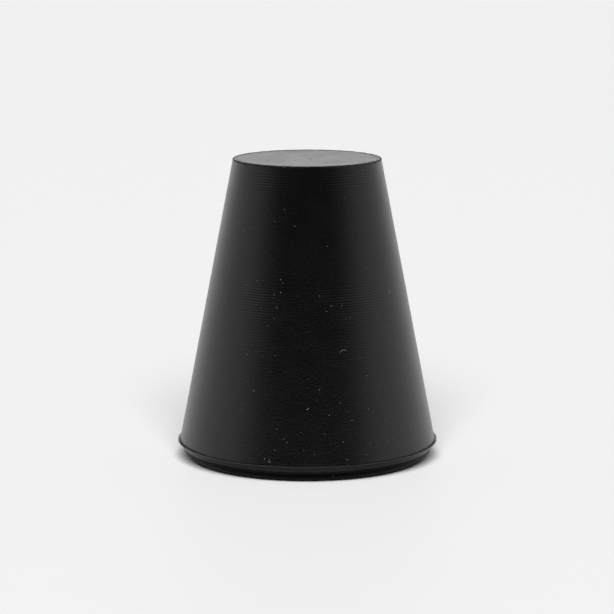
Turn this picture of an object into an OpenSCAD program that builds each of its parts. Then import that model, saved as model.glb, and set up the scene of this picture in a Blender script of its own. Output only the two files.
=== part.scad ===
// Conical rubber stopper, moulded as one solid piece.
// It stands on its wide face: the origin is the centre of that face, and +Z runs up the axis
// to the narrow face. A thin flash lip marks where the two halves of the mould met.

/* [Body] */
// Diameter of the sloping wall at the parting line, its widest place
wide_d = 25; // [16:0.1:60]
// Diameter of the sloping wall at the narrow face
narrow_d = 14.4; // [6:0.1:24]
// Height from the wide face to the narrow face
height = 29.4; // [12:0.1:90]

/* [Wide end] */
// Height of the parting line above the wide face
parting_z = 1.75; // [1.6:0.05:5]
// Radius of the rounded edge round the wide face
wide_edge_r = 1.5; // [0.2:0.05:1.5]
// Step inwards, on the radius, from the sloping wall to the rim below the parting line
rim_step = 0.3; // [0:0.05:0.8]

/* [Flash] */
// How far the flash stands out past the sloping wall
flash_reach = 0.2; // [0.05:0.05:0.8]
// Thickness of the flash where it leaves the rim
flash_root_t = 0.2; // [0.1:0.05:0.4]
// Thickness of the flash at its outer edge
flash_tip_t = 0.1; // [0.05:0.01:0.4]

/* [Narrow end] */
// Radius of the edge round the narrow face
narrow_edge_r = 0.15; // [0.05:0.05:1.5]

/* [Hidden] */
$fn = 96;

wide_r = wide_d / 2;
narrow_r = narrow_d / 2;
rim_r = wide_r - rim_step;
flash_r = wide_r + flash_reach;

// How far the sloping wall leans in from upright
wall_lean = atan((wide_r - narrow_r) / (height - parting_z));

// Distance from the narrow end's sharp corner to where its rounded edge starts, the same
// along the face and down the wall
narrow_edge_run = narrow_edge_r / tan((90 + wall_lean) / 2);
narrow_face_r = narrow_r - narrow_edge_run;
narrow_edge_foot = [
    narrow_r + narrow_edge_run * sin(wall_lean),
    height - narrow_edge_run * cos(wall_lean)
];

// Half section of the cone that the upper half of the mould forms, with its rounded edge
module cone_section() {
    polygon([
        [0, parting_z],
        [wide_r, parting_z],
        narrow_edge_foot,
        [narrow_face_r, height],
        [0, height]
    ]);
    translate([narrow_face_r, height - narrow_edge_r])
        circle(r = narrow_edge_r);
}

// Half section of the shallow rim below the parting line, with its rounded edge
module rim_section() {
    polygon([
        [0, 0],
        [rim_r - wide_edge_r, 0],
        [rim_r, wide_edge_r],
        [rim_r, parting_z],
        [0, parting_z]
    ]);
    translate([rim_r - wide_edge_r, wide_edge_r])
        circle(r = wide_edge_r);
}

// Half section of the flash lip, which thins outwards and is level with the parting line
module flash_section() {
    polygon([
        [rim_r, parting_z - flash_root_t / 2],
        [flash_r, parting_z - flash_tip_t / 2],
        [flash_r, parting_z + flash_tip_t / 2],
        [rim_r, parting_z + flash_root_t / 2]
    ]);
}

module stopper() {
    color([0.09, 0.09, 0.09])
        rotate_extrude() {
            cone_section();
            rim_section();
            flash_section();
        }
}

stopper();
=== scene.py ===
"""The looks of a solid tapered rubber stopper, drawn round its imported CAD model.

The row frame has its origin at the centre of the wide face, +Z up the axis to the narrow face, and the
viewer on the -Y side. Sizes here are in millimetres, and become metres where a mesh, a light or the
camera is made. Angles round the stopper count from the front, positive to the viewer's right.
"""

import logging
import math
from collections.abc import Callable
from dataclasses import dataclass, field
from enum import Enum
from typing import Any

import bpy
import numpy as np
from mathutils import Euler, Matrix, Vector


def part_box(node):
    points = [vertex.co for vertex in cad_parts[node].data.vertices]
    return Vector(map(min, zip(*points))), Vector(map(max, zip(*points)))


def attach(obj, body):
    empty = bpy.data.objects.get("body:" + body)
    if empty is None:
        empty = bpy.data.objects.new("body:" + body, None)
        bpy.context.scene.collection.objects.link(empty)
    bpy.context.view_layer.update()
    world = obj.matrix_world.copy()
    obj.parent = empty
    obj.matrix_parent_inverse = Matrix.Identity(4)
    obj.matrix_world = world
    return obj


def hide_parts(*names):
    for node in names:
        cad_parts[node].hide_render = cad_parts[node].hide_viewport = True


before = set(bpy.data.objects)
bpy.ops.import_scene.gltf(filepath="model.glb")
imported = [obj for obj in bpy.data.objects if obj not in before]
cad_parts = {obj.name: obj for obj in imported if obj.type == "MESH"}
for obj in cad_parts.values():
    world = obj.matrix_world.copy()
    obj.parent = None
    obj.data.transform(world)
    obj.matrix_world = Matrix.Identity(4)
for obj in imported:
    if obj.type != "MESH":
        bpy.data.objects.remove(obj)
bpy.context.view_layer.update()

MM = 0.001
# An uneven line is a sum of at most so many ripples, and the gain brings its spread to about 0.4.
RIPPLES = 40
RIPPLE_GAIN = 0.57
log = logging.getLogger("stopper")

# Short names for what the materials are made of.
Tree = bpy.types.NodeTree
Node = bpy.types.Node
Socket = bpy.types.NodeSocket


# ---------------------------------------------------------------------------------------------------
# Small helpers


def linear(hex_colour: str) -> tuple[float, float, float, float]:
    """Turns an sRGB hex colour into the linear colour that a shader takes.

    Args:
        hex_colour: A colour such as "#1a1a1a".

    Returns:
        Linear red, green and blue, and an alpha of 1.
    """
    shares = [int(hex_colour[i : i + 2], 16) / 255 for i in (1, 3, 5)]
    red, green, blue = (s / 12.92 if s <= 0.04045 else ((s + 0.055) / 1.055) ** 2.4 for s in shares)
    return red, green, blue, 1.0


def add_node(
    tree: Tree,
    kind: str,
    inputs: dict[str | int, Any] | None = None,
    **settings: Any,
) -> Node:
    """Adds one node to a tree, with its settings, values and links.

    Args:
        tree: The node tree to add to.
        kind: The node's type, such as "ShaderNodeBump".
        inputs: Each input's name or place, with a value for it or an output socket to link to it.
        **settings: Attributes of the node itself, such as operation="MULTIPLY".

    Returns:
        The new node.
    """
    node = tree.nodes.new(kind)
    for name, value in settings.items():
        setattr(node, name, value)
    for key, value in (inputs or {}).items():
        if isinstance(value, Socket):
            tree.links.new(value, node.inputs[key])
        else:
            node.inputs[key].default_value = value
    return node


def uneven(angles: np.ndarray, seed: int, coarsest: int, finest: int) -> np.ndarray:
    """A seeded uneven line round the stopper, which closes on itself.

    Args:
        angles: Where to read the line, in radians.
        seed: The line's own seed.
        coarsest: Waves round the stopper in its slowest ripple.
        finest: Waves round the stopper in its quickest ripple.

    Returns:
        One value for each angle, about -1 to 1, with a spread of about 0.4.
    """
    draw = np.random.default_rng(seed)
    waves = np.unique(np.geomspace(coarsest, finest, RIPPLES).astype(int))
    heights = draw.normal(size=waves.size) / np.sqrt(waves.size)
    starts = draw.uniform(0, 2 * math.pi, waves.size)
    ripples = heights[:, None] * np.cos(waves[:, None] * angles[None, :] + starts[:, None])
    return RIPPLE_GAIN * ripples.sum(axis=0)


def smooth_step(low: float, high: float, value: np.ndarray) -> np.ndarray:
    """Rises smoothly from 0 at low to 1 at high."""
    share = np.clip((value - low) / (high - low), 0, 1)
    return share * share * (3 - 2 * share)


def hump(centre: float, half_width: float, value: np.ndarray) -> np.ndarray:
    """A smooth bump of height 1 at centre that is 0 from half_width on."""
    return 1 - smooth_step(0, half_width, np.abs(value - centre))


# ---------------------------------------------------------------------------------------------------
# Finishes


@dataclass(frozen=True)
class Speck:
    """One grain of dust that stuck to the sloping wall: where it is, and how big."""

    around: float
    height: float
    radius: float

    def place(self, wall_r: Callable[[float], float]) -> Vector:
        """Where the grain lies, in metres.

        Args:
            wall_r: Gives the wall's radius at a height, both in millimetres.

        Returns:
            The grain's place in the row frame.
        """
        angle, radius = math.radians(self.around), wall_r(self.height)
        return Vector((radius * math.sin(angle), -radius * math.cos(angle), self.height)) * MM


@dataclass(frozen=True)
class Fibre:
    """A hair of lint on the wall, drawn as a row of grains along an arc."""

    around: float
    height: float
    length: float
    lean: float
    bend: float
    radius: float
    # How far apart the grains are, in radii.
    spacing: float = 1.5

    def grains(self, wall_r: Callable[[float], float]) -> list[Speck]:
        """The row of grains, close enough to touch.

        Args:
            wall_r: Gives the wall's radius at a height, both in millimetres.

        Returns:
            The grains from one end to the other.
        """
        count = math.ceil(self.length / (self.spacing * self.radius))
        step = self.length / count
        across, up = 0.0, 0.0
        row = []
        for k in range(count):
            turn = math.radians(self.lean + self.bend * (k / count - 0.5))
            across += step * math.sin(turn)
            up += step * math.cos(turn)
            around = self.around + math.degrees(across / wall_r(self.height))
            row.append(Speck(around, self.height + up, self.radius))
        return row


@dataclass(frozen=True)
class MouldedRubber:
    """Black vulcanised rubber, compression moulded in a turned steel mould and left as it came out.

    Carbon black takes nearly all the light, so what the eye reads is the surface's own dull gloss. It
    is almost black face on, grey at the sides and pale where it is seen edge on. The steel's finish
    leaves a fine mottled grain, and the tacky surface holds pale grains of dust.
    """

    name: str = "satin_moulded_rubber"
    colour: str = "#030303"
    grain_colour: str = "#040404"
    # The pale colour of dust, also given to the wall's film of painted light on what faces up.
    dust_and_light_colour: str = "#82817c"
    ior: float = 1.5
    specular: float = 0.5
    roughness: float = 0.3
    # The gloss differs a little from patch to patch, as a pattern between two levels says.
    roughness_swing: float = 0.02
    gloss_patch_mm: float = 2.5
    gloss_levels: tuple[float, float] = (0.3, 0.7)
    # The grain's size and depth, how much longer than high it is, and the levels of its tops.
    grain_mm: float = 0.2
    grain_depth_mm: float = 0.01
    grain_drawn_out: float = 2.0
    grain_tops: tuple[float, float] = (0.4, 0.75)
    # The cells that dust may lie in, the share that holds a grain, and that grain's largest radius.
    dust_spacing_mm: float = 1.1
    dust_share: float = 0.12
    dust_size_mm: float = 0.032
    faintest_dust: float = 0.35
    cells_turned: tuple[float, float, float] = (0.6, 0.4, 0.9)

    def make(self) -> bpy.types.Material:
        """Builds the material.

        Returns:
            The finished material.
        """
        material = bpy.data.materials.new(self.name)
        material.use_nodes = True
        tree = material.node_tree
        tree.nodes.clear()
        place = add_node(tree, "ShaderNodeTexCoord").outputs["Object"]
        normal = add_node(tree, "ShaderNodeNewGeometry").outputs["Normal"]
        # Turning drew the steel's grain out round the axis, so it is longer across than it is high.
        # The real grain is finer than this: it is drawn as coarse as it needs to be to show.
        squeeze = 1 / self.grain_drawn_out
        drawn = add_node(
            tree, "ShaderNodeVectorMath", {0: place, 1: (squeeze, squeeze, 1.0)}, operation="MULTIPLY"
        ).outputs["Vector"]
        grains = add_node(
            tree,
            "ShaderNodeTexNoise",
            {"Vector": drawn, "Scale": 1 / (self.grain_mm * MM), "Detail": 1.0, "Roughness": 0.5},
        ).outputs["Fac"]
        bump = add_node(
            tree,
            "ShaderNodeBump",
            {"Height": grains, "Distance": self.grain_depth_mm * MM, "Strength": 1.0},
        )
        # On the wall the dust share also holds the film of painted light on what faces up.
        base = add_node(
            tree,
            "ShaderNodeMix",
            {
                "Factor": self.dust(tree, place, normal),
                "A": self.bare(tree, place, grains),
                "B": linear(self.dust_and_light_colour),
            },
            data_type="RGBA",
        )
        gloss = add_node(
            tree,
            "ShaderNodeTexNoise",
            {"Vector": place, "Scale": 1 / (self.gloss_patch_mm * MM), "Detail": 3.0},
        )
        roughness = add_node(
            tree,
            "ShaderNodeMapRange",
            {
                "Value": gloss.outputs["Fac"],
                "From Min": self.gloss_levels[0],
                "From Max": self.gloss_levels[1],
                "To Min": self.roughness - self.roughness_swing,
                "To Max": self.roughness + self.roughness_swing,
            },
        )
        shader = add_node(
            tree,
            "ShaderNodeBsdfPrincipled",
            {
                "Base Color": base.outputs["Result"],
                "Roughness": roughness.outputs["Result"],
                "IOR": self.ior,
                "Specular IOR Level": self.specular,
                "Normal": bump.outputs["Normal"],
            },
        )
        add_node(tree, "ShaderNodeOutputMaterial", {"Surface": shader.outputs["BSDF"]})
        return material

    def bare(self, tree: Tree, place: Socket, grains: Socket) -> Socket:
        """Adds the colour of the clean rubber, a little paler on the tops of the grain.

        Args:
            tree: The material's node tree.
            place: The socket with each point's place on the stopper. Not used here.
            grains: The socket with the height of the grain.

        Returns:
            The socket with the colour.
        """
        low, high = self.grain_tops
        share = add_node(
            tree, "ShaderNodeMapRange", {"Value": grains, "From Min": low, "From Max": high}
        )
        colour = add_node(
            tree,
            "ShaderNodeMix",
            {
                "Factor": share.outputs["Result"],
                "A": linear(self.colour),
                "B": linear(self.grain_colour),
            },
            data_type="RGBA",
        )
        return colour.outputs["Result"]

    def dust(self, tree: Tree, place: Socket, normal: Socket) -> Socket:
        """Adds grains of dust scattered all over, in a few of the cells of a cell pattern.

        Args:
            tree: The material's node tree.
            place: The socket with each point's place on the stopper.
            normal: The socket with the way the surface faces.

        Returns:
            The socket with how much of the point is dust, from 0 to 1.
        """
        # The pattern is turned off the axes, so that its cells don't line up down the wall.
        place, normal = (
            add_node(
                tree,
                "ShaderNodeVectorRotate",
                {"Vector": vector, "Rotation": self.cells_turned},
                rotation_type="EULER_XYZ",
            ).outputs["Vector"]
            for vector in (place, normal)
        )
        cells = add_node(
            tree, "ShaderNodeTexVoronoi", {"Vector": place, "Scale": 1 / (self.dust_spacing_mm * MM)}
        )
        aside = add_node(
            tree,
            "ShaderNodeVectorMath",
            {0: place, 1: cells.outputs["Position"]},
            operation="SUBTRACT",
        ).outputs["Vector"]
        # A cell's middle may lie above or below the surface, so only its distance along it counts.
        away = add_node(tree, "ShaderNodeVectorMath", {0: aside}, operation="LENGTH").outputs["Value"]
        off = add_node(
            tree, "ShaderNodeVectorMath", {0: aside, 1: normal}, operation="DOT_PRODUCT"
        ).outputs["Value"]
        away_squared = add_node(tree, "ShaderNodeMath", {0: away, 1: away}, operation="MULTIPLY")
        off_squared = add_node(tree, "ShaderNodeMath", {0: off, 1: off}, operation="MULTIPLY")
        along_squared = add_node(
            tree,
            "ShaderNodeMath",
            {0: away_squared.outputs["Value"], 1: off_squared.outputs["Value"]},
            operation="SUBTRACT",
        )
        draw = add_node(tree, "ShaderNodeSeparateColor", {"Color": cells.outputs["Color"]})
        size_squared = add_node(
            tree,
            "ShaderNodeMapRange",
            {
                "Value": draw.outputs["Red"],
                "From Min": 1 - self.dust_share,
                "From Max": 1.0,
                "To Max": (self.dust_size_mm * MM) ** 2,
            },
        )
        grain = add_node(
            tree,
            "ShaderNodeMath",
            {0: along_squared.outputs["Value"], 1: size_squared.outputs["Result"]},
            operation="LESS_THAN",
        )
        paleness = add_node(
            tree, "ShaderNodeMapRange", {"Value": draw.outputs["Green"], "To Min": self.faintest_dust}
        )
        dust = add_node(
            tree,
            "ShaderNodeMath",
            {0: grain.outputs["Value"], 1: paleness.outputs["Result"]},
            operation="MULTIPLY",
        )
        return dust.outputs["Value"]


@dataclass(frozen=True)
class WallRubber(MouldedRubber):
    """The satin rubber that the turned half of the mould formed.

    It has some placed grains and hairs of dust that catch the eye. A thin film of dust and painted
    light lies on the narrow face, so that face looks greyer than the wall, and a thinner one on the top
    of the flash.
    """

    wall_r: Callable[[float], float] = field(kw_only=True)
    placed: tuple[Speck, ...] = ()
    # How much dust and painted light the film holds at most and at least, in patches between two levels
    # of a pattern.
    dust_and_light_film: float = 0.4
    dust_and_light_least: float = 0.04
    dust_and_light_patch_mm: float = 0.8
    dust_and_light_levels: tuple[float, float] = (0.35, 0.65)
    # The film grows between these upward parts of the way the surface faces: it is painted light that
    # makes the tops paler, as well as dust.
    faces_up: tuple[float, float] = (0.6, 0.95)
    # Below one height the film has only this share, and above the other it has all.
    lip_share: float = 0.25
    lip_below: float = 3.0
    face_above: float = 28.0

    def dust(self, tree: Tree, place: Socket, normal: Socket) -> Socket:
        """Adds the scattered grains, the placed ones, and the film of dust and painted light on what
        faces up.

        Args:
            tree: The material's node tree.
            place: The socket with each point's place on the stopper.
            normal: The socket with the way the surface faces.

        Returns:
            The socket with how much of the point takes the pale colour of dust and painted light, from
            0 to 1.
        """
        dust = super().dust(tree, place, normal)
        for speck in self.placed:
            dust = self.one_speck(tree, place, speck, dust)
        # The film adds painted light, as well as dust, on what faces up.
        dust_and_light_film = self.tops_dust_and_light(tree, place, normal)
        both = add_node(tree, "ShaderNodeMath", {0: dust, 1: dust_and_light_film}, operation="MAXIMUM")
        return both.outputs["Value"]

    def one_speck(self, tree: Tree, place: Socket, speck: Speck, before: Socket) -> Socket:
        """Adds one placed grain of dust to those before it.

        Args:
            tree: The material's node tree.
            place: The socket with each point's place on the stopper.
            speck: The grain.
            before: The socket with the dust so far.

        Returns:
            The socket with the dust so far and this grain.
        """
        away = add_node(
            tree, "ShaderNodeVectorMath", {0: place, 1: speck.place(self.wall_r)}, operation="DISTANCE"
        )
        grain = add_node(
            tree,
            "ShaderNodeMath",
            {0: away.outputs["Value"], 1: speck.radius * MM},
            operation="LESS_THAN",
        )
        both = add_node(
            tree, "ShaderNodeMath", {0: before, 1: grain.outputs["Value"]}, operation="MAXIMUM"
        )
        return both.outputs["Value"]

    def tops_dust_and_light(self, tree: Tree, place: Socket, normal: Socket) -> Socket:
        """Adds the patchy film on what faces up, the narrow face and thinly the flash: partly dust,
        partly painted light.

        Args:
            tree: The material's node tree.
            place: The socket with each point's place on the stopper.
            normal: The socket with the way the surface faces.

        Returns:
            The socket with how much of the point is the film of dust and painted light, from 0 to 1.
        """
        # Painted light: the film makes what faces up paler, as well as dusty.
        facing = add_node(tree, "ShaderNodeSeparateXYZ", {"Vector": normal}).outputs["Z"]
        up = add_node(
            tree,
            "ShaderNodeMapRange",
            {"Value": facing, "From Min": self.faces_up[0], "From Max": self.faces_up[1]},
            interpolation_type="SMOOTHSTEP",
        )
        height = add_node(tree, "ShaderNodeSeparateXYZ", {"Vector": place}).outputs["Z"]
        share = add_node(
            tree,
            "ShaderNodeMapRange",
            {
                "Value": height,
                "From Min": self.lip_below * MM,
                "From Max": self.face_above * MM,
                "To Min": self.lip_share,
            },
        )
        patches = add_node(
            tree,
            "ShaderNodeTexNoise",
            {
                "Vector": place,
                "Scale": 1 / (self.dust_and_light_patch_mm * MM),
                "Detail": 5.0,
                "Roughness": 0.75,
            },
        )
        amount = add_node(
            tree,
            "ShaderNodeMapRange",
            {
                "Value": patches.outputs["Fac"],
                "From Min": self.dust_and_light_levels[0],
                "From Max": self.dust_and_light_levels[1],
                "To Min": self.dust_and_light_least,
                "To Max": self.dust_and_light_film,
            },
        )
        dust_and_light_film = add_node(
            tree,
            "ShaderNodeMath",
            {0: up.outputs["Result"], 1: amount.outputs["Result"]},
            operation="MULTIPLY",
        )
        here = add_node(
            tree,
            "ShaderNodeMath",
            {0: dust_and_light_film.outputs["Value"], 1: share.outputs["Result"]},
            operation="MULTIPLY",
        )
        return here.outputs["Value"]


@dataclass(frozen=True)
class RimRubber(MouldedRubber):
    """The matt rubber of the rim, which the rough plate under the mould formed.

    It has less gloss than the wall, so it picks up less of the white table in front.
    """

    name: str = "matt_moulded_rubber"
    specular: float = 0.2
    colour: str = "#050505"
    grain_colour: str = "#151515"


@dataclass(frozen=True)
class FootRubber(RimRubber):
    """The dead matt rubber of the rim's rounded foot, where the stopper rubs on whatever it stands on.

    It has next to no gloss. Its colour is paler up the rim and fades towards the wide face, which is
    the blackest part: painted shade under the rounded foot.
    """

    name: str = "matt_rubber_painted_shade"
    specular: float = 0.015
    # The near black at the foot: painted shade.
    foot_shade_colour: str = "#010101"
    colour: str = "#1b1b1b"
    grain_colour: str = "#262626"
    # Heights where the painted shade fades out: full below the first, gone above the second.
    fade_from: float = 0.75
    fade_to: float = 1.35

    def bare(self, tree: Tree, place: Socket, grains: Socket) -> Socket:
        """Adds the colour of the clean rubber, with painted shade that darkens it towards the foot.

        Args:
            tree: The material's node tree.
            place: The socket with each point's place on the stopper.
            grains: The socket with the height of the grain.

        Returns:
            The socket with the colour.
        """
        # Painted shade: the colour is near black below fade_from and lightens up to fade_to.
        height = add_node(tree, "ShaderNodeSeparateXYZ", {"Vector": place}).outputs["Z"]
        share = add_node(
            tree,
            "ShaderNodeMapRange",
            {"Value": height, "From Min": self.fade_from * MM, "From Max": self.fade_to * MM},
        )
        colour = add_node(
            tree,
            "ShaderNodeMix",
            {
                "Factor": share.outputs["Result"],
                "A": linear(self.foot_shade_colour),
                "B": super().bare(tree, place, grains),
            },
            data_type="RGBA",
        )
        return colour.outputs["Result"]


@dataclass(frozen=True)
class WhiteAcrylic:
    """Opal acrylic sheet with a satin face, which is even white with faint blurred reflections."""

    name: str = "satin_opal_acrylic"
    colour: str = "#e4e4e4"
    ior: float = 1.49
    roughness: float = 0.57
    etch_mm: float = 0.4
    etch_depth_mm: float = 0.002

    def make(self) -> bpy.types.Material:
        """Builds the material.

        Returns:
            The finished material.
        """
        material = bpy.data.materials.new(self.name)
        material.use_nodes = True
        tree = material.node_tree
        tree.nodes.clear()
        place = add_node(tree, "ShaderNodeTexCoord").outputs["Object"]
        etch = add_node(
            tree, "ShaderNodeTexNoise", {"Vector": place, "Scale": 1 / (self.etch_mm * MM)}
        )
        bump = add_node(
            tree,
            "ShaderNodeBump",
            {"Height": etch.outputs["Fac"], "Distance": self.etch_depth_mm * MM},
        )
        shader = add_node(
            tree,
            "ShaderNodeBsdfPrincipled",
            {
                "Base Color": linear(self.colour),
                "Roughness": self.roughness,
                "IOR": self.ior,
                "Normal": bump.outputs["Normal"],
            },
        )
        add_node(tree, "ShaderNodeOutputMaterial", {"Surface": shader.outputs["BSDF"]})
        return material


# Grains that stand out on the front. Each has its degrees round from the front, its height and its
# radius.
DUST = (
    Speck(0.0, 7.0, 0.042),
    Speck(0.5, 7.1, 0.03),
    Speck(-19.0, 2.3, 0.036),
    Speck(-9.2, 3.9, 0.024),
    Speck(16.2, 3.9, 0.03),
    Speck(8.0, 4.7, 0.02),
    Speck(29.3, 3.6, 0.025),
    Speck(42.0, 3.7, 0.021),
    Speck(21.0, 5.8, 0.03),
    Speck(10.2, 6.4, 0.027),
    Speck(-27.0, 8.5, 0.036),
    Speck(4.2, 9.8, 0.021),
    Speck(28.0, 11.5, 0.02),
    Speck(-16.4, 11.9, 0.02),
    Speck(-18.4, 15.3, 0.024),
    Speck(-56.0, 15.1, 0.027),
    Speck(10.7, 16.0, 0.027),
    Speck(13.7, 16.5, 0.026),
    Speck(19.8, 16.5, 0.023),
    Speck(-17.3, 16.3, 0.031),
    Speck(-19.3, 17.5, 0.025),
    Speck(-15.4, 17.7, 0.031),
    Speck(-15.8, 18.9, 0.032),
    Speck(38.0, 19.8, 0.021),
    Speck(12.6, 22.0, 0.027),
    Speck(-8.0, 23.9, 0.022),
    Speck(-15.6, 25.4, 0.032),
    Speck(27.4, 26.4, 0.023),
)
# Hairs of lint. Each has its place, its length, its lean and bend in degrees, and its radius.
LINT = (
    Fibre(17.0, 12.1, 0.8, 75.0, 110.0, 0.009),
    Fibre(-17.0, 2.0, 0.35, 5.0, 10.0, 0.012),
    Fibre(56.0, 16.9, 0.6, -10.0, 20.0, 0.012),
)


# ---------------------------------------------------------------------------------------------------
# The stopper


class Zone(Enum):
    """A stretch of skin with one finish. Its value is the place of that finish."""

    FOOT = 0
    RIM = 1
    WALL = 2


@dataclass
class Loop:
    """One closed loop of points round the axis, with its radius and height at each column.

    The zone says which finish the faces from this loop to the next one take.
    """

    radius: np.ndarray
    height: np.ndarray
    zone: Zone = Zone.WALL

    @property
    def columns(self) -> int:
        """How many points the loop has."""
        return self.radius.size


def angles_of(columns: int) -> np.ndarray:
    """The angle of each of so many columns, in radians."""
    return np.arange(columns) * 2 * math.pi / columns


def strip(first: int, columns: int, second: int, next_columns: int) -> list[tuple[int, ...]]:
    """Faces between two loops that follow each other, facing outwards.

    Args:
        first: Number of the first loop's first point.
        columns: Points in the first loop.
        second: Number of the second loop's first point.
        next_columns: Points in the second loop: as many, twice as many or half as many.

    Returns:
        The faces, each as the numbers of its points.
    """
    fewer = np.arange(min(columns, next_columns))
    after = (fewer + 1) % fewer.size
    if columns == next_columns:
        quads = (first + fewer, first + after, second + after, second + fewer)
        return list(zip(*(q.tolist() for q in quads), strict=True))
    even, odd, last = 2 * fewer, 2 * fewer + 1, 2 * after
    if columns < next_columns:
        triples = (
            (first + fewer, second + odd, second + even),
            (first + fewer, first + after, second + odd),
            (first + after, second + last, second + odd),
        )
    else:
        triples = (
            (first + even, first + odd, second + fewer),
            (first + odd, second + after, second + fewer),
            (first + odd, first + last, second + after),
        )
    return [face for t in triples for face in zip(*(q.tolist() for q in t), strict=True)]


@dataclass
class WideEnd:
    """The wide face, its rounded edge and the shallow rim below the parting line."""

    rim_r: float
    edge_r: float = 1.5
    edge_steps: int = 12
    # Below this height the faces take the foot's finish, whose colour holds painted shade.
    shaded_foot_to: float = 1.1
    below_flash: float = 0.03
    columns: int = 320
    # Each loop on the flat face: its share of that face's radius, and its points.
    face_loops: tuple[tuple[float, int], ...] = ((0.12, 40), (0.3, 80), (0.6, 160), (0.97, 320))

    def loops(self, top: float) -> list[Loop]:
        """The loops from the middle of the wide face out and up to the parting line.

        Args:
            top: Height where the flash leaves the rim.

        Returns:
            The loops in order.
        """
        foot = self.rim_r - self.edge_r
        made = [self.level(foot * share, 0.0, columns) for share, columns in self.face_loops]
        for turn in np.linspace(0, math.pi / 2, self.edge_steps + 1):
            radius = foot + self.edge_r * math.sin(turn)
            made.append(self.level(radius, self.edge_r * (1 - math.cos(turn)), self.columns))
        made.append(self.level(self.rim_r, top - self.below_flash, self.columns))
        return made

    def level(self, radius: float, height: float, columns: int) -> Loop:
        """A round loop of one radius and height."""
        zone = Zone.FOOT if height < self.shaded_foot_to else Zone.RIM
        return Loop(np.full(columns, radius), np.full(columns, height), zone)


@dataclass
class FlashLip:
    """The thin fin of rubber that was squeezed out where the two zones of the mould met.

    It is ragged, stands out furthest at the sides, and is worn back at the front. Above it a fine crack
    runs under the wall's lower edge, and gapes at the front.
    """

    wall_r: float
    rim_r: float
    height: float
    reach: float
    # Shares of the reach: the least that is left anywhere, and what is worn off at the front.
    least_reach: float = 0.2
    front_wear: float = 0.3
    # How far the edge wanders in and out, over long stretches and over short ones.
    slow_ragged: float = 0.03
    quick_ragged: float = 0.035
    # How far the edge rises at the sides, and wanders up and down.
    side_lift: float = 0.06
    waviness: float = 0.03
    root_t: float = 0.13
    tip_t: float = 0.11
    # The belly under the fin: its share of the way out, and its depth in half thicknesses.
    belly_at: float = 0.7
    belly: float = 1.15
    # The shelf on top of the fin: its share of the way out, and its share of the edge's rise.
    shelf_at: float = 0.3
    shelf_lift: float = 0.4
    crack: float = 0.16
    crack_depth: float = 0.25
    # Shares of the crack's full size: what is open behind, and how much the opening varies.
    shut: float = 0.05
    gape_swing: float = 0.4
    # How far above the fin the wall proper starts, and how far below that the crack's lip ends.
    blend: float = 0.5
    blend_end: float = 0.1
    # How far the wall leans in for each millimetre of height.
    wall_lean: float = 0.19
    columns: int = 640
    seed: int = 11
    # Up the fin's rounded edge: shares of half its thickness, and how far in each is set.
    tip: tuple[tuple[float, float], ...] = (
        (-1.0, 0.02),
        (-0.7, 0.005),
        (0.0, 0.0),
        (0.7, 0.005),
        (1.0, 0.02),
    )

    def loops(self) -> list[Loop]:
        """The loops from the rim out round the fin's edge, in to the crack and out to the wall.

        Returns:
            The loops in order.
        """
        angles = angles_of(self.columns)
        facing_front = np.clip(np.cos(angles), 0, 1) ** 2
        slow = uneven(angles, self.seed, coarsest=2, finest=24)
        quick = uneven(angles, self.seed + 1, coarsest=60, finest=300)
        wander = uneven(angles, self.seed + 2, coarsest=5, finest=120)
        reach = self.reach * (1 - self.front_wear * facing_front)
        reach = reach + self.slow_ragged * slow + self.quick_ragged * quick
        tip_r = self.wall_r + np.maximum(reach, self.least_reach * self.reach)
        lift = self.side_lift * np.sin(angles) ** 2 + self.waviness * wander
        tip_z = self.height + lift
        half_tip, half_root = self.tip_t / 2, self.root_t / 2
        flat = np.full(self.columns, self.height)
        belly_r = self.rim_r + self.belly_at * (tip_r - self.rim_r)
        made = [
            Loop(np.full(self.columns, self.rim_r), flat - half_root, Zone.RIM),
            Loop(belly_r, tip_z - self.belly * half_tip),
            *(Loop(tip_r - inset, tip_z + half_tip * rise) for rise, inset in self.tip),
        ]
        gape = self.shut + (1 - self.shut) * facing_front**8 * (1 + self.gape_swing * slow)
        shelf_r = self.wall_r + self.shelf_at * (tip_r - self.wall_r)
        inner = self.wall_r - self.crack_depth * gape
        sill = flat + half_root + self.crack * gape
        joined = np.full(self.columns, self.top - self.blend_end)
        return [
            *made,
            Loop(shelf_r, flat + half_root + self.shelf_lift * lift),
            Loop(inner, flat + half_root),
            Loop(inner, sill),
            *(Loop(self.wall_r - self.wall_lean * (z - self.height), z) for z in (sill, joined)),
        ]

    @property
    def top(self) -> float:
        """The height where the wall proper starts."""
        return self.height + self.root_t / 2 + self.blend


@dataclass(frozen=True)
class RingBand:
    """A stretch of the wall where the mould's turning marks show, and half their depth."""

    low: float
    high: float
    depth: float


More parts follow.
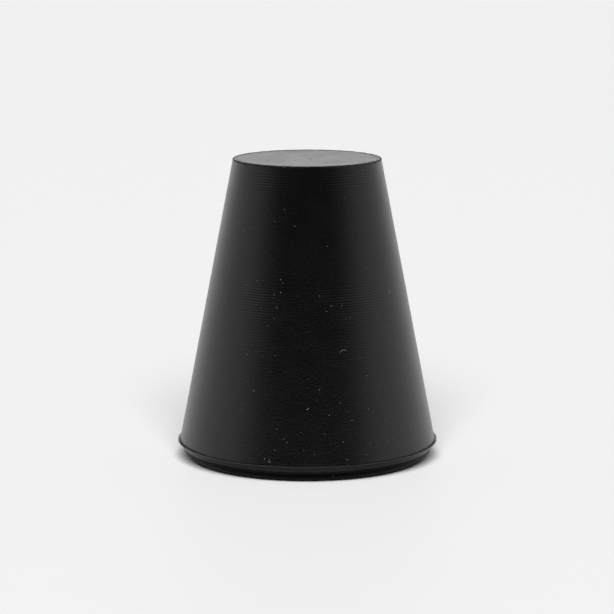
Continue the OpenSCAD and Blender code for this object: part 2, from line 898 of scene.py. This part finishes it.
@dataclass
class Wall:
    """The sloping wall, with the turning marks of the mould on it."""

    wide_r: float
    narrow_r: float
    low: float
    high: float
    start: float
    pitch: float = 0.25
    steps_per_ring: int = 4
    plain_step: float = 0.6
    # How strong the rings are round the wall, and how much that varies.
    strength: float = 0.85
    strength_swing: float = 0.5
    # The share that is worn off at the front, and how many degrees from it the wear ends.
    front_wear: float = 0.85
    worn_within: float = 30.0
    # The range of one ring's depth against another's, and how many rings to draw it for.
    ring_depths: tuple[float, float] = (0.45, 1.15)
    rings: int = 200
    fading_rings: float = 3.0
    columns: int = 320
    bands: tuple[RingBand, ...] = (
        RingBand(10.5, 14.6, 0.0035),
        RingBand(14.6, 18.7, 0.0085),
        RingBand(26.4, 29.2, 0.0095),
    )
    seed: int = 31

    def heights(self) -> np.ndarray:
        """Heights of the wall's loops: close together in the bands, and wide apart elsewhere."""
        band_ends = (z for band in self.bands for z in (band.low, band.high))
        edges = sorted({self.start, self.high, *band_ends})
        parts = []
        for start, end in zip(edges, edges[1:], strict=False):
            ringed = any(band.low <= start < band.high for band in self.bands)
            step = self.pitch / self.steps_per_ring if ringed else self.plain_step
            count = max(1, round((end - start) / step))
            parts.append(np.linspace(start, end, count, endpoint=False))
        return np.concatenate([*parts, [self.high]])

    def loops(self) -> list[Loop]:
        """The wall's loops from the flash up to the narrow edge.

        Returns:
            The loops in order.
        """
        angles = angles_of(self.columns)
        from_front = (angles + math.pi) % (2 * math.pi) - math.pi
        worn = self.front_wear * hump(0.0, math.radians(self.worn_within), from_front)
        swing = self.strength_swing * uneven(angles, self.seed, coarsest=1, finest=14)
        strength = (self.strength + swing) * (1 - worn)
        ring_draw = np.random.default_rng(self.seed + 1).uniform(*self.ring_depths, self.rings)
        fading = self.fading_rings * self.pitch
        made = []
        for z in self.heights():
            radius = np.full(self.columns, self.radius_at(z))
            for band in self.bands:
                if band.low < z < band.high:
                    fade = min(1.0, min(z - band.low, band.high - z) / fading)
                    of_ring = np.interp(z / self.pitch, np.arange(self.rings), ring_draw)
                    wave = math.cos(2 * math.pi * z / self.pitch)
                    radius = radius + band.depth * fade * of_ring * wave * strength
            made.append(Loop(radius, np.full(self.columns, z)))
        return made

    def radius_at(self, z: float) -> float:
        """The plain wall's radius at a height."""
        return self.wide_r + (self.narrow_r - self.wide_r) * (z - self.low) / (self.high - self.low)


@dataclass
class NarrowEnd:
    """The narrow face: a ragged edge with a burr, a groove inside it, a shallow dish and a small pip.

    The pip is what is left of the rubber that filled the mould's vent.
    """

    narrow_r: float
    height: float
    edge_r: float = 0.15
    # Degrees round the edge where its loops lie.
    edge_turns: tuple[float, ...] = (8, 30, 52, 72, 90)
    # The chips' size, how far down they cut for each millimetre in, and the cap on what stands out.
    chip: float = 0.09
    chip_drop: float = 1.2
    chip_cap: float = 0.25
    # The burr's height, the share its inner slope drops, and how far in that starts and ends.
    burr: float = 0.05
    burr_share: float = 0.5
    burr_foot: tuple[float, float] = (0.12, 0.3)
    # The groove's depth as a share of the burr, how far in it lies, and half its width.
    groove_share: float = 0.8
    groove_in: float = 0.33
    groove_w: float = 0.16
    # The dish's depth, and how far in from the wall its slope starts and ends.
    dish: float = 0.03
    dish_slope: tuple[float, float] = (0.3, 3.0)
    # The pip's place across and back from the axis, its radius and its height.
    pip_at: tuple[float, float] = (0.3, 0.1)
    pip_r: float = 0.2
    pip_h: float = 0.04
    columns: int = 640
    seed: int = 51
    # How far in from the wall the loops near the edge lie, and after which the points are halved.
    edge_insets: tuple[float, ...] = (
        0.19, 0.23, 0.28, 0.33, 0.38, 0.43, 0.5, 0.6, 0.75, 0.95, 1.25, 1.7, 2.3,
    )
    halved_after: tuple[float, ...] = (0.6, 0.95)
    # Radii of the loops on the plain face, and round the pip, where the points are halved again.
    face_radii: tuple[float, ...] = (4.2, 3.4, 2.6, 1.9, 1.3)
    pip_radii: tuple[float, ...] = (0.9, 0.7, 0.56, 0.48, 0.4, 0.32, 0.24, 0.16, 0.08)

    def loops(self) -> list[Loop]:
        """The loops from the top of the wall over the edge and in to the middle of the face.

        Returns:
            The loops in order.
        """
        made = self.edge_loops()
        columns = self.columns
        for inset in self.edge_insets:
            made.append(self.face_loop(self.narrow_r - inset, columns))
            if inset in self.halved_after:
                columns //= 2
        made += [self.face_loop(radius, columns) for radius in self.face_radii]
        made += [self.face_loop(radius, columns // 2) for radius in self.pip_radii]
        return made

    def edge_loops(self) -> list[Loop]:
        """The loops round the chipped edge, which never stand above the face.

        Returns:
            The loops in order.
        """
        ripple = uneven(angles_of(self.columns), self.seed, coarsest=24, finest=240)
        chips = self.chip * np.minimum(ripple, self.chip_cap)
        flat_r = self.narrow_r - self.edge_r
        made = []
        for turn in np.radians(self.edge_turns):
            share = math.sin(turn)
            radius = flat_r + self.edge_r * math.cos(turn) + chips
            height = self.height + self.edge_r * (share - 1) + self.chip_drop * chips * share
            made.append(Loop(radius, np.minimum(height, self.height)))
        return made

    def face_loop(self, radius_mm: float, columns: int) -> Loop:
        """A loop on the face, with the height of the face at each point."""
        radius = np.full(columns, radius_mm)
        return Loop(radius, self.face_heights(radius, angles_of(columns)))

    def face_heights(self, radius: np.ndarray, angles: np.ndarray) -> np.ndarray:
        """Heights of points on the face inside the edge.

        Args:
            radius: Each point's radius.
            angles: Each point's angle from the front, in radians.

        Returns:
            The heights.
        """
        inset = self.narrow_r - radius
        unevenness = 1 + uneven(angles, self.seed + 1, coarsest=3, finest=60)
        groove = self.groove_share * hump(self.groove_in, self.groove_w, inset) * unevenness
        below_burr = self.burr * (self.burr_share * smooth_step(*self.burr_foot, inset) + groove)
        dish = self.dish * smooth_step(*self.dish_slope, inset)
        across, back = radius * np.sin(angles), -radius * np.cos(angles)
        from_pip = np.hypot(across - self.pip_at[0], back - self.pip_at[1])
        pip = self.pip_h * hump(0.0, self.pip_r, from_pip)
        return self.height - below_burr - dish + pip


@dataclass
class Stopper:
    """The whole moulding: wide end, flash, wall and narrow end in one closed skin."""

    height: float
    flash_r: float
    wide_d: float = 25.0
    narrow_d: float = 14.4
    parting_z: float = 1.75
    rim_step: float = 0.3
    # How far the middle of the fin lies below the parting line.
    flash_sag: float = 0.07
    # Edges sharper than this, in degrees, show as creases.
    crease_angle: float = 50.0

    def __post_init__(self) -> None:
        """Makes the parts of the skin from the stopper's sizes."""
        wide_r, narrow_r = self.wide_d / 2, self.narrow_d / 2
        rim_r = wide_r - self.rim_step
        flash_z = self.parting_z - self.flash_sag
        self.wide_end = WideEnd(rim_r)
        self.flash = FlashLip(wide_r, rim_r, flash_z, reach=self.flash_r - wide_r)
        self.narrow_end = NarrowEnd(narrow_r, self.height)
        wall_top = self.height - self.narrow_end.edge_r
        self.wall = Wall(wide_r, narrow_r, low=flash_z, high=wall_top, start=self.flash.top)

    def loops(self) -> list[Loop]:
        """Every loop of the skin, from the middle of the wide face to the middle of the narrow one."""
        return [
            *self.wide_end.loops(self.flash.height - self.flash.root_t / 2),
            *self.flash.loops(),
            *self.wall.loops(),
            *self.narrow_end.loops(),
        ]

    def finishes(self) -> list[bpy.types.Material]:
        """The finish of each zone, in the order of Zone."""
        wall_r = self.wall.radius_at
        dust = [*DUST, *(grain for fibre in LINT for grain in fibre.grains(wall_r))]
        # The foot's finish holds painted shade, and the wall's a film that is partly painted light.
        return [
            FootRubber().make(),
            RimRubber().make(),
            WallRubber(wall_r=wall_r, placed=tuple(dust)).make(),
        ]

    @staticmethod
    def points(loops: list[Loop]) -> np.ndarray:
        """The skin's points: the middle of the wide face, each loop's, and the narrow face's middle.

        Args:
            loops: The skin's loops in order.

        Returns:
            One row for each point, in millimetres.
        """
        rows = [np.zeros((1, 3))]
        for loop in loops:
            angle = angles_of(loop.columns)
            across, back = loop.radius * np.sin(angle), -loop.radius * np.cos(angle)
            rows.append(np.column_stack((across, back, loop.height)))
        rows.append(np.array([[0.0, 0.0, float(loops[-1].height.mean())]]))
        return np.concatenate(rows)

    @staticmethod
    def faces(loops: list[Loop]) -> tuple[list[tuple[int, ...]], list[int]]:
        """The skin's faces, from the wide face's middle to the narrow one's.

        Args:
            loops: The skin's loops in order.

        Returns:
            The faces, each as the numbers of its points, and the zone value of each.
        """
        starts = np.cumsum([1, *(loop.columns for loop in loops)]).tolist()
        wide, narrow = loops[0].columns, loops[-1].columns
        faces: list[tuple[int, ...]] = [(0, 1 + (k + 1) % wide, 1 + k) for k in range(wide)]
        zones = [loops[0].zone.value] * wide
        for i, (loop, after) in enumerate(zip(loops, loops[1:], strict=False)):
            faces += strip(starts[i], loop.columns, starts[i + 1], after.columns)
            zones += [loop.zone.value] * (len(faces) - len(zones))
        last, middle = starts[-2:]
        faces += [(last + k, last + (k + 1) % narrow, middle) for k in range(narrow)]
        zones += [loops[-1].zone.value] * narrow
        return faces, zones

    def build(self) -> bpy.types.Object:
        """Makes the skin as one mesh, dressed in rubber.

        Returns:
            The stopper's object.
        """
        loops = self.loops()
        faces, zones = self.faces(loops)
        mesh = bpy.data.meshes.new("stopper_rubber")
        mesh.from_pydata((self.points(loops) * MM).tolist(), [], faces)
        for finish in self.finishes():
            mesh.materials.append(finish)
        mesh.polygons.foreach_set("material_index", zones)
        mesh.polygons.foreach_set("use_smooth", np.ones(len(mesh.polygons), dtype=bool))
        mesh.set_sharp_from_angle(angle=math.radians(self.crease_angle))
        piece = bpy.data.objects.new("stopper_rubber", mesh)
        bpy.context.scene.collection.objects.link(piece)
        return piece


# ---------------------------------------------------------------------------------------------------
# The studio


@dataclass(frozen=True)
class Studio:
    """A white table in a white surround that is dark on the viewer's side, with one soft lamp above."""

    # The surround's strength as seen, then at the sides and above, and where it dims with height.
    backdrop: float = 1.1
    sides: float = 0.97
    upper: float = 0.1
    upper_from: float = 4.0
    upper_to: float = 24.0
    # The dark patch on the viewer's side: its share of the light, its height and its two edges.
    dark: float = 0.01
    dark_lift: float = 15.0
    dark_inner: float = 28.0
    dark_outer: float = 75.0
    # The bright patch on the far side, given in the same way.
    back: float = 1.72
    back_lift: float = 15.0
    back_inner: float = 15.0
    back_outer: float = 55.0
    lamp_strength: float = 5.03
    lamp_spread: float = 40.0
    lamp_tilt: float = 45.0
    table_r: float = 3000.0
    table_columns: int = 128
    top: WhiteAcrylic = field(default_factory=WhiteAcrylic)

    def build(self) -> None:
        """Makes the surround, the lamp and the table."""
        self.make_world()
        self.make_lamp()
        self.make_table()

    def make_world(self) -> None:
        """Makes the surround: white at the sides, dimmer above, with a soft dark patch at the front."""
        world = bpy.data.worlds.new("surround")
        world.use_nodes = True
        bpy.context.scene.world = world
        tree = world.node_tree
        tree.nodes.clear()
        direction = add_node(tree, "ShaderNodeTexCoord").outputs["Generated"]
        rise = add_node(tree, "ShaderNodeSeparateXYZ", {"Vector": direction}).outputs["Z"]
        start, end = 90 - self.upper_from, 90 - self.upper_to
        bands = self.ramp(tree, rise, start, end, self.sides, self.upper)
        viewer_side = self.nearness(tree, direction, -1, self.dark_lift)
        far_side = self.nearness(tree, direction, 1, self.back_lift)
        patch = self.ramp(tree, viewer_side, self.dark_outer, self.dark_inner, 1.0, self.dark)
        glow = self.ramp(tree, far_side, self.back_outer, self.back_inner, 1.0, self.back)
        both = add_node(tree, "ShaderNodeMath", {0: glow, 1: patch}, operation="MULTIPLY")
        strength = add_node(
            tree, "ShaderNodeMath", {0: bands, 1: both.outputs["Value"]}, operation="MULTIPLY"
        )
        light = add_node(tree, "ShaderNodeBackground", {"Strength": strength.outputs["Value"]})
        # What lies past the table's edge is as pale as the table, so that the two look like one sweep.
        plain = add_node(tree, "ShaderNodeBackground", {"Strength": self.backdrop})
        seen = add_node(tree, "ShaderNodeLightPath").outputs["Is Camera Ray"]
        surround = add_node(
            tree,
            "ShaderNodeMixShader",
            {0: seen, 1: light.outputs["Background"], 2: plain.outputs["Background"]},
        )
        add_node(tree, "ShaderNodeOutputWorld", {"Surface": surround.outputs["Shader"]})

    @staticmethod
    def nearness(tree: Tree, direction: Socket, side: int, lift: float) -> Socket:
        """Adds how near a direction is to one straight in front or behind.

        Args:
            tree: The surround's node tree.
            direction: The socket with the direction.
            side: -1 for the viewer's side, 1 for the far side.
            lift: How far up that way points, in degrees.

        Returns:
            The socket with the cosine of the angle between them.
        """
        up = math.radians(lift)
        node = add_node(
            tree,
            "ShaderNodeVectorMath",
            {0: direction, 1: (0.0, side * math.cos(up), math.sin(up))},
            operation="DOT_PRODUCT",
        )
        return node.outputs["Value"]

    @staticmethod
    def ramp(
        tree: Tree,
        cosine: Socket,
        start: float,
        end: float,
        first: float,
        last: float,
    ) -> Socket:
        """Adds a smooth change from one strength to another between two angles from a direction.

        Args:
            tree: The surround's node tree.
            cosine: The socket with the cosine of the angle.
            start: Angle where the change starts, in degrees.
            end: Angle where the change ends, in degrees.
            first: Strength before the change.
            last: Strength after it.

        Returns:
            The socket with the strength.
        """
        node = add_node(
            tree,
            "ShaderNodeMapRange",
            {
                "Value": cosine,
                "From Min": math.cos(math.radians(start)),
                "From Max": math.cos(math.radians(end)),
                "To Min": first,
                "To Max": last,
            },
            interpolation_type="SMOOTHSTEP",
        )
        return node.outputs["Result"]

    def make_lamp(self) -> None:
        """Makes the soft lamp above the viewer, far enough off to light the whole table evenly."""
        light = bpy.data.lights.new("top_light", "SUN")
        light.energy = self.lamp_strength
        light.angle = math.radians(self.lamp_spread)
        lamp = bpy.data.objects.new("top_light", light)
        lamp.rotation_euler = (math.radians(self.lamp_tilt), 0.0, 0.0)
        lamp.visible_glossy = False
        bpy.context.scene.collection.objects.link(lamp)

    def make_table(self) -> None:
        """Makes the round table top that the stopper stands on."""
        angle = angles_of(self.table_columns)
        edge = np.column_stack((np.sin(angle), -np.cos(angle), np.zeros(angle.size)))
        mesh = bpy.data.meshes.new("table")
        mesh.from_pydata((edge * self.table_r * MM).tolist(), [], [tuple(range(angle.size))])
        mesh.materials.append(self.top.make())
        table = bpy.data.objects.new("table", mesh)
        bpy.context.scene.collection.objects.link(table)


@dataclass(frozen=True)
class Viewpoint:
    """The camera: low in front of the stopper, a long lens looking a little down."""

    distance: float = 263.67
    height: float = 60.27
    aside: float = 0.03
    # Degrees down from level, and degrees of lean.
    pitch: float = 9.79
    roll: float = 0.07
    lens: float = 160.9
    sensor: float = 36.0
    nearest: float = 10.0
    furthest: float = 10000.0

    def build(self) -> None:
        """Makes the camera and gives it to the scene."""
        data = bpy.data.cameras.new("camera")
        data.lens = self.lens
        data.sensor_width = self.sensor
        data.clip_start = self.nearest * MM
        data.clip_end = self.furthest * MM
        camera = bpy.data.objects.new("camera", data)
        camera.location = Vector((self.aside, -self.distance, self.height)) * MM
        camera.rotation_euler = Euler((math.radians(90 - self.pitch), math.radians(self.roll), 0.0))
        bpy.context.scene.collection.objects.link(camera)
        bpy.context.scene.camera = camera
        bpy.context.scene.view_settings.view_transform = "Standard"


def main() -> None:
    """Builds the camera, the studio and the stopper."""
    Viewpoint().build()
    Studio().build()
    low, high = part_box("stopper")
    stopper = Stopper(height=high.z / MM, flash_r=(high.x - low.x) / 2 / MM)
    piece = stopper.build()
    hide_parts("stopper")
    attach(piece, "root")
    points, faces = len(piece.data.vertices), len(piece.data.polygons)
    log.info("%s: %d points, %d faces", piece.name, points, faces)


if __name__ == "__main__":
    logging.basicConfig(level=logging.INFO, format="%(name)s: %(message)s")
    main()
